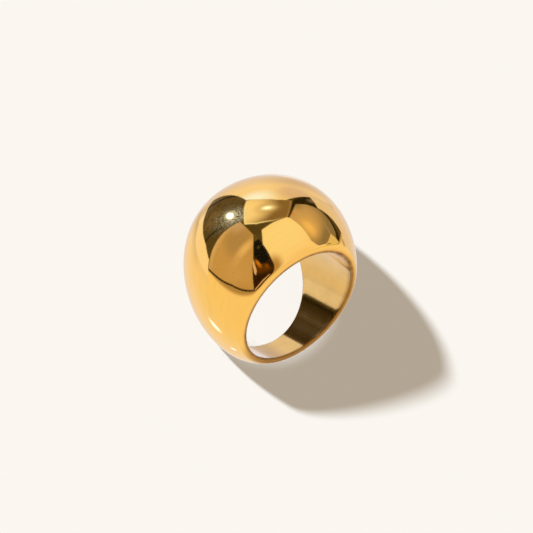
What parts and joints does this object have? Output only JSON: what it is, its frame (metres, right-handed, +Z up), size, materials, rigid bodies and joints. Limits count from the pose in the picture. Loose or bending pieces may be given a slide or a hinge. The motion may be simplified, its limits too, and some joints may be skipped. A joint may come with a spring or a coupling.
{
  "type": "gold ring",
  "caption": "Chunky domed gold ring: a high rounded crown that tapers to a narrow band, with a round finger hole, lying on its side rim.",
  "frame": {"origin": "on the surface that the ring lies on, under the middle of its bounding box", "axes": "+Z up from the flat side rim that it rests on; +Y towards the crown of the dome; +X across the ring, which is the same on both sides of X = 0"},
  "size_m": [0.0234, 0.0258, 0.0187],
  "materials": {
    "polished_gold": "mirror-polished gold plate"
  },
  "bodies": {
    "root": {"domed_band": "polished_gold"}
  },
  "joints": []
}
